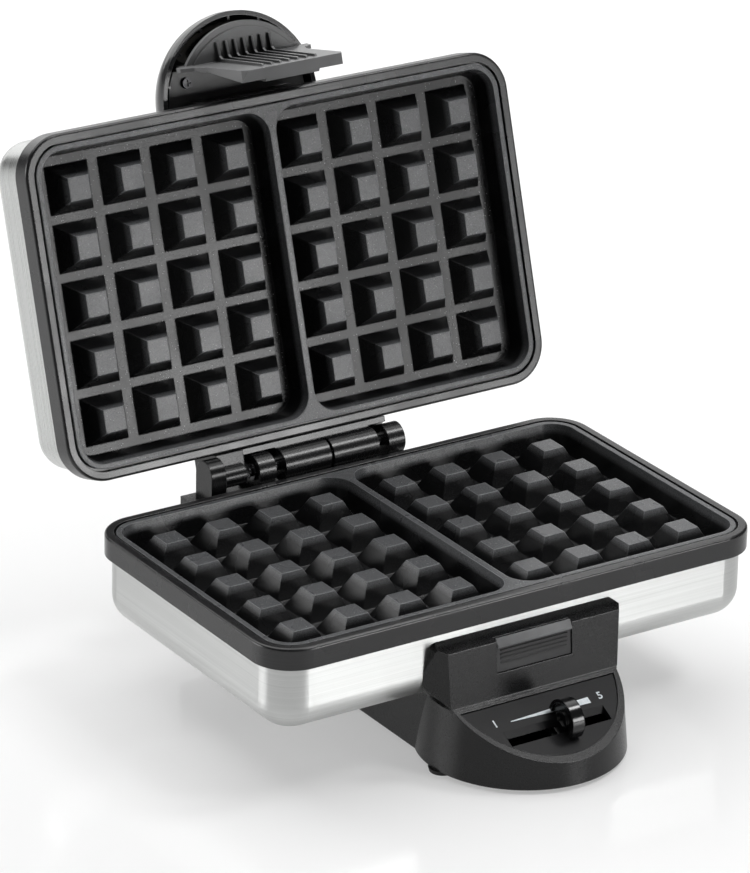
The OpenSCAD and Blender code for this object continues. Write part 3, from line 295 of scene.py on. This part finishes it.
def moulded(name, colour, rough, grain_scale=1800, grain=0.15, edge=0.3 * MM, specular=0.5, vary=0.25,
            edge_highlight=None, shade=None, below=None):
    """Injection-moulded plastic with a fine sparked grain.

    The paler colour given for its sharp edges is a painted highlight, shade is the reach over which painted
    shade darkens its hollows, and below a height and the colour under it.
    """
    n = Nodes(name)
    pits = n.noise(grain_scale, detail=2, roughness=0.55)
    cloud = n.noise(CLOUD_SCALE)
    skin = n.blotch(cloud, scaled(colour, 1 - vary), scaled(colour, 1 + vary))
    if below:
        height, under = below
        level = n.remap(n.component(n.here(), "Z"), height - LEVEL_BLUR, height + LEVEL_BLUR, 0.0, 1.0)
        skin = n.mix(level, under, skin)
    # painted highlight: a paler colour along the sharp edges
    if edge_highlight:
        skin = n.mix(n.edges(MOULDED_BEVEL), skin, edge_highlight)
    # painted shade: darker in the hollows, by ambient occlusion
    if shade:
        skin = n.mix(n.hollows(shade), PAINTED_SHADE_COLOUR, skin)
    n.surface(pits, grain, 0.08 * MM, edge=edge)
    return n.set(Base_Color=skin, Specular_IOR_Level=specular,
                 Roughness=n.remap(n.combine(pits, cloud), 0.7, 1.3, rough * 0.88, rough * 1.12))


def painted_band(name, colour, rough):
    """Black enamel with faint drawing lines along the band, and a painted highlight along its edges."""
    n = Nodes(name)
    lines = n.noise(1.0, roughness=0.65, stretch=(DRAWN_LENGTHWISE, DRAWN_LENGTHWISE, DRAWN_ACROSS))
    drawn = n.mix(n.remap(lines, 0.35, 0.7, 0.0, 1.0), colour, scaled(colour, 1.9))
    cloud = n.noise(40, detail=2)
    n.surface(lines, 0.10, 0.06 * MM, edge=0.45 * MM)
    return n.set(Base_Color=n.mix(n.edges(BAND_BEVEL), drawn, BAND_EDGE_HIGHLIGHT), Specular_IOR_Level=0.5,
                 Roughness=n.remap(cloud, NOISE_LOW, NOISE_HIGH, rough * 0.85, rough * 1.2))


def bright_metal(name, colour, rough, scale=300):
    """Bare metal with fine handling marks."""
    n = Nodes(name)
    marks = n.noise(scale)
    n.surface(marks, 0.08, 0.05 * MM, edge=0.15 * MM)
    return n.set(Base_Color=n.blotch(marks, scaled(colour, 0.8), colour), Metallic=1.0,
                 Roughness=n.remap(marks, NOISE_LOW, NOISE_HIGH, rough * 0.8, rough * 1.3))


def lens_plastic(name, colour):
    """Clear dyed plastic of a pilot lamp."""
    n = Nodes(name)
    cloud = n.noise(500, detail=1)
    n.surface(cloud, 0.05, 0.05 * MM, edge=0.3 * MM)
    return n.set(Base_Color=n.mix(cloud, scaled(colour, 0.7), colour), Roughness=0.12,
                 Coat_Weight=0.6, Coat_Roughness=0.05)


def print_ink(name):
    """Pale printed ink, a little uneven."""
    n = Nodes(name)
    wear = n.noise(1400, detail=2)
    n.surface(wear, 0.05, 0.02 * MM)
    return n.set(Base_Color=n.blotch(wear, INK_THIN, INK_FULL), Roughness=0.45)


STEEL = brushed_steel("steel_brushed", along=0.85, rough=(0.28, 0.38))
LID_STEEL = brushed_steel("steel_brushed_lid", tilt=LID_ANGLE)
CAST = cast_non_stick("plate_coating", "lower_plate", UP)
LID_CAST = cast_non_stick("plate_coating_lid", "upper_plate", LID_OUT)
BAND = painted_band("bezel_enamel", (0.007, 0.007, 0.0075), 0.26)
# the housing's sharp edges get a painted highlight
HOUSING = moulded("housing_plastic", (0.0045, 0.0046, 0.0050), 0.27, grain_scale=2200, grain=0.10,
                  edge=0.6 * MM, specular=0.36, edge_highlight=(0.12, 0.121, 0.124))
PANEL = moulded("panel_plastic", (0.0050, 0.0050, 0.0056), 0.42, grain_scale=2600, grain=0.16, specular=0.2)
KNOB = moulded("knob_plastic", (0.0040, 0.0040, 0.0044), 0.16, grain=0.05, edge=0.7 * MM)
LEDGE = moulded("latch_plastic", (0.155, 0.157, 0.160), 0.50, grain_scale=1300, grain=0.6, vary=0.5,
                below=(LEDGE_FOOT, (0.022, 0.022, 0.023)))
# the cap's sharp edges get a painted highlight
GLOSS = moulded("cap_gloss", (0.0150, 0.0152, 0.0158), 0.14, grain_scale=300, grain=0.02, specular=0.6,
                edge_highlight=(0.09, 0.09, 0.092))
# grey grip colour is painted light on black plastic; its edges get a painted highlight, its hollows painted
# shade
LIT_GRIP = moulded("grip_plastic", (0.140, 0.141, 0.143), 0.36, grain_scale=2400, grain=0.10, edge=0.5 * MM,
               edge_highlight=(0.26, 0.26, 0.263), shade=34 * MM)
HINGE = moulded("hinge_enamel", (0.0060, 0.0060, 0.0066), 0.26, grain_scale=1500, grain=0.08)
RUBBER = moulded("foot_rubber", (0.008, 0.008, 0.008), 0.7, grain_scale=900, grain=0.3)
SCREW = bright_metal("screw_zinc", (0.66, 0.66, 0.64), 0.28)
BLACK_SCREW = bright_metal("screw_black", (0.06, 0.06, 0.062), 0.35)
PIN = bright_metal("pin_steel", (0.10, 0.10, 0.105), 0.25)
SHEET = bright_metal("sheet_metal", (0.74, 0.75, 0.76), 0.38, scale=60)
HEATER = bright_metal("heater_sheath", (0.25, 0.24, 0.23), 0.5, scale=120)
CERAMIC = moulded("ceramic", (0.72, 0.69, 0.62), 0.6, grain_scale=700, vary=0.06)
RED = lens_plastic("lens_red", (0.55, 0.03, 0.02))
GREEN = lens_plastic("lens_green", (0.03, 0.40, 0.08))
INK = print_ink("panel_ink")

NODE_MATERIALS = {
    STEEL: ("base_shell",),
    LID_STEEL: ("lid_shell",),
    BAND: ("base_bezel", "lid_bezel"),
    CAST: ("lower_plate",),
    LID_CAST: ("upper_plate",),
    HOUSING: ("pedestal_housing", "bottom_cover", "cable_guard", "wire_elbow"),
    PANEL: ("control_panel",),
    KNOB: ("heat_knob", "slider_carrier"),
    LEDGE: ("latch_catch",),
    GLOSS: ("handle_cap",),
    LIT_GRIP: ("handle_grip",),
    HINGE: ("hinge_bracket", "lid_hinge_arm"),
    RUBBER: ("rubber_feet", "cord_gland"),
    SCREW: ("lower_plate_screws", "upper_plate_screws", "cover_screws", "shell_screws", "bracket_screws",
            "thermostat_lever"),
    BLACK_SCREW: ("handle_screws", "hinge_arm_screws"),
    PIN: ("hinge_pin", "pin_clips", "latch_spring"),
    SHEET: ("base_reflector", "lid_reflector", "lower_heater_clips", "upper_heater_clips",
            "thermostat_bracket"),
    HEATER: ("lower_heater", "upper_heater"),
    CERAMIC: ("thermostat_body", "terminal_block", "thermal_fuse", "lamp_holder"),
    RED: ("power_lens",),
    GREEN: ("ready_lens",),
}
SMOOTH_ANGLE = math.radians(28)


def dress(name, material):
    """Gives a CAD node its material, and smooth shading between its sharp edges."""
    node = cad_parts[name]
    for slot in node.material_slots:
        slot.link = "OBJECT"
        slot.material = material
    for face in node.data.polygons:
        face.use_smooth = True
    node.data.set_sharp_from_angle(angle=SMOOTH_ANGLE)


for material, names in NODE_MATERIALS.items():
    for name in names:
        dress(name, material)


# ---- Printed marks on the control panel ----

def panel_matrix(x, down, out):
    """Places a flat mark on the panel: x to the right, down the slope, out from its face."""
    turn = Matrix.Rotation(PANEL_SLOPE, 4, "X")
    place = PANEL_FACE + turn @ Vector((x, -down, out - PANEL_RECESS))
    return Matrix.Translation(place) @ turn


def print_on_panel(name, mesh, place):
    """A printed mark that moves with the base."""
    mark = bpy.data.objects.new(name, mesh)
    bpy.context.scene.collection.objects.link(mark)
    mark.matrix_world = place
    mesh.materials.clear()
    mesh.materials.append(INK)
    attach(mark, "base")


WEDGE_DOWN = 12.3 * MM
WEDGE_LEFT, WEDGE_RIGHT = -20.0 * MM, 22.1 * MM
WEDGE_THIN, WEDGE_THICK = 0.2 * MM, 1.7 * MM  # half its height at its left and right ends
WEDGE_SUNK, WEDGE_PRINT = 0.15 * MM, 0.17 * MM  # how deep in the panel it starts, and its thickness

DIGITS = (("1", -28.0 * MM), ("5", 28.2 * MM))
DIGIT_HEIGHT = 5.4 * MM
DIGIT_DOWN = 11.6 * MM
DIGIT_MIDDLE, DIGIT_HALF_PRINT = 0.03 * MM, 0.05 * MM  # its middle above the panel, half its thickness
DIGIT_BOLDER = 0.09 * MM


def wedge_mesh(name):
    """The long wedge beside the heat scale, standing on z = 0."""
    outline = ((WEDGE_LEFT, -WEDGE_THIN), (WEDGE_RIGHT, -WEDGE_THICK),
               (WEDGE_RIGHT, WEDGE_THICK), (WEDGE_LEFT, WEDGE_THIN))
    corners = [(x, y, z) for z in (0, WEDGE_PRINT) for x, y in outline]
    around = [(i, (i + 1) % 4, (i + 1) % 4 + 4, i + 4) for i in range(4)]
    mesh = bpy.data.meshes.new(name)
    mesh.from_pydata(corners, [], [(3, 2, 1, 0), (4, 5, 6, 7), *around])
    return mesh


def digit_mesh(digit):
    """A digit of the heat scale, centred on its own origin."""
    curve = bpy.data.curves.new(f"dial_{digit}", "FONT")
    curve.body = digit
    curve.size = DIGIT_HEIGHT
    curve.align_x = "CENTER"
    curve.align_y = "CENTER"
    curve.extrude = DIGIT_HALF_PRINT
    curve.offset = DIGIT_BOLDER
    text = bpy.data.objects.new(f"dial_{digit}_text", curve)
    bpy.context.scene.collection.objects.link(text)
    mesh = bpy.data.meshes.new_from_object(text)
    bpy.data.objects.remove(text)
    return mesh


print_on_panel("heat_wedge", wedge_mesh("heat_wedge"), panel_matrix(0, WEDGE_DOWN, -WEDGE_SUNK))
for digit, x in DIGITS:
    print_on_panel(f"dial_{digit}", digit_mesh(digit), panel_matrix(x, DIGIT_DOWN, DIGIT_MIDDLE))

# ---- Stage: floor, world and lamps ----
FLOOR_HALF = 12
FLOOR_WHITE = (0.90, 0.90, 0.90)
PAPER_WHITE = (1, 1, 1, 1)
PAPER_SHARE = 0.36  # how much of the seen floor is plain white, so that its shadow stays light
HORIZON, HORIZON_LIGHT = 0.50, (0.12, 0.12, 0.12, 1)
ZENITH, ZENITH_LIGHT = 0.95, (0.06, 0.06, 0.06, 1)

floor_mesh = bpy.data.meshes.new("floor")
floor_corners = [(x * FLOOR_HALF, y * FLOOR_HALF, 0) for x, y in ((-1, -1), (1, -1), (1, 1), (-1, 1))]
floor_mesh.from_pydata(floor_corners, [], [(0, 1, 2, 3)])
floor = bpy.data.objects.new("floor", floor_mesh)
bpy.context.scene.collection.objects.link(floor)
floor_nodes = Nodes("floor_white")
floor_nodes.set(Base_Color=FLOOR_WHITE, Roughness=0.10, Specular_IOR_Level=0.6)
rays = floor_nodes.add("ShaderNodeLightPath")
seen = floor_nodes.combine(rays.outputs["Is Camera Ray"], rays.outputs["Is Glossy Ray"])
seen = floor_nodes.combine(seen, rays.outputs["Is Transmission Ray"])
paper = floor_nodes.add("ShaderNodeEmission")
paper.inputs["Color"].default_value = PAPER_WHITE
paper.inputs["Strength"].default_value = 1.0
blend = floor_nodes.add("ShaderNodeMixShader")
floor_nodes.link(floor_nodes.combine(seen, PAPER_SHARE, "MULTIPLY"), blend.inputs["Fac"])
floor_nodes.link(floor_nodes.shader.outputs["BSDF"], blend.inputs[1])
floor_nodes.link(paper.outputs["Emission"], blend.inputs[2])
floor_nodes.link(blend.outputs["Shader"], floor_nodes.tree.nodes["Material Output"].inputs["Surface"])
floor_mesh.materials.append(floor_nodes.material)

world = bpy.data.worlds.new("studio")
bpy.context.scene.world = world
world.use_nodes = True
sky = world.node_tree
background = sky.nodes["Background"]
coords = sky.nodes.new("ShaderNodeTexCoord")
split = sky.nodes.new("ShaderNodeSeparateXYZ")
ramp = sky.nodes.new("ShaderNodeValToRGB")
rise = sky.nodes.new("ShaderNodeMapRange")
rise.inputs["From Min"].default_value = -1
sky.links.new(coords.outputs["Generated"], split.inputs["Vector"])
sky.links.new(split.outputs["Z"], rise.inputs["Value"])
sky.links.new(rise.outputs["Result"], ramp.inputs["Fac"])
ramp.color_ramp.elements[0].position = HORIZON
ramp.color_ramp.elements[0].color = HORIZON_LIGHT
ramp.color_ramp.elements[1].position = ZENITH
ramp.color_ramp.elements[1].color = ZENITH_LIGHT
sky.links.new(ramp.outputs["Color"], background.inputs["Color"])
background.inputs["Strength"].default_value = 1.0


def lamp(name, offset, size, power, spread=180):
    """A soft box at an offset from the middle of the plates, turned to face it."""
    light = bpy.data.lights.new(name, "AREA")
    light.spread = math.radians(spread)
    light.shape = "RECTANGLE"
    light.size, light.size_y = size
    light.energy = power
    thing = bpy.data.objects.new(name, light)
    bpy.context.scene.collection.objects.link(thing)
    thing.location = PLATE_MIDDLE + Vector(offset)
    thing.rotation_euler = (-Vector(offset)).to_track_quat("-Z", "Y").to_euler()


lamp("overhead", (0.20, 1.20, 2.60), (3.60, 3.60), 96.0)
lamp("low_front", (1.05, -2.08, 0.30), (0.75, 0.55), 1.8, spread=60)
lamp("low_left", (-1.70, 1.05, 0.45), (1.30, 0.70), 2.4, spread=60)
lamp("edge_light", (1.05, -0.45, 1.70), (0.40, 0.40), 9.0)
lamp("top_front", (0.75, -1.05, 2.20), (0.40, 0.40), 9.0)
lamp("back_panel", (0.90, 2.30, 0.60), (3.20, 1.00), 14.0)

# ---- Camera ----
toward = Vector((math.cos(VIEW_ELEVATION) * math.sin(VIEW_AZIMUTH),
                 -math.cos(VIEW_ELEVATION) * math.cos(VIEW_AZIMUTH), math.sin(VIEW_ELEVATION)))
right = (-toward).cross(UP).normalized()
up = right.cross(-toward)
rolled_right = math.cos(VIEW_ROLL) * right + math.sin(VIEW_ROLL) * up
rolled_up = -math.sin(VIEW_ROLL) * right + math.cos(VIEW_ROLL) * up
camera_data = bpy.data.cameras.new("camera")
camera_data.sensor_fit = "HORIZONTAL"
camera_data.sensor_width = SENSOR_WIDTH
camera_data.lens = SENSOR_WIDTH * FOCAL_PIXELS / IMAGE_WIDTH
camera_data.clip_end = CLIP_END
camera = bpy.data.objects.new("camera", camera_data)
bpy.context.scene.collection.objects.link(camera)
axes = Matrix((rolled_right, rolled_up, toward)).transposed().to_4x4()
camera.matrix_world = Matrix.Translation(PLATE_MIDDLE + CAMERA_OFFSET) @ axes
bpy.context.scene.camera = camera
bpy.context.scene.view_settings.view_transform = "Standard"
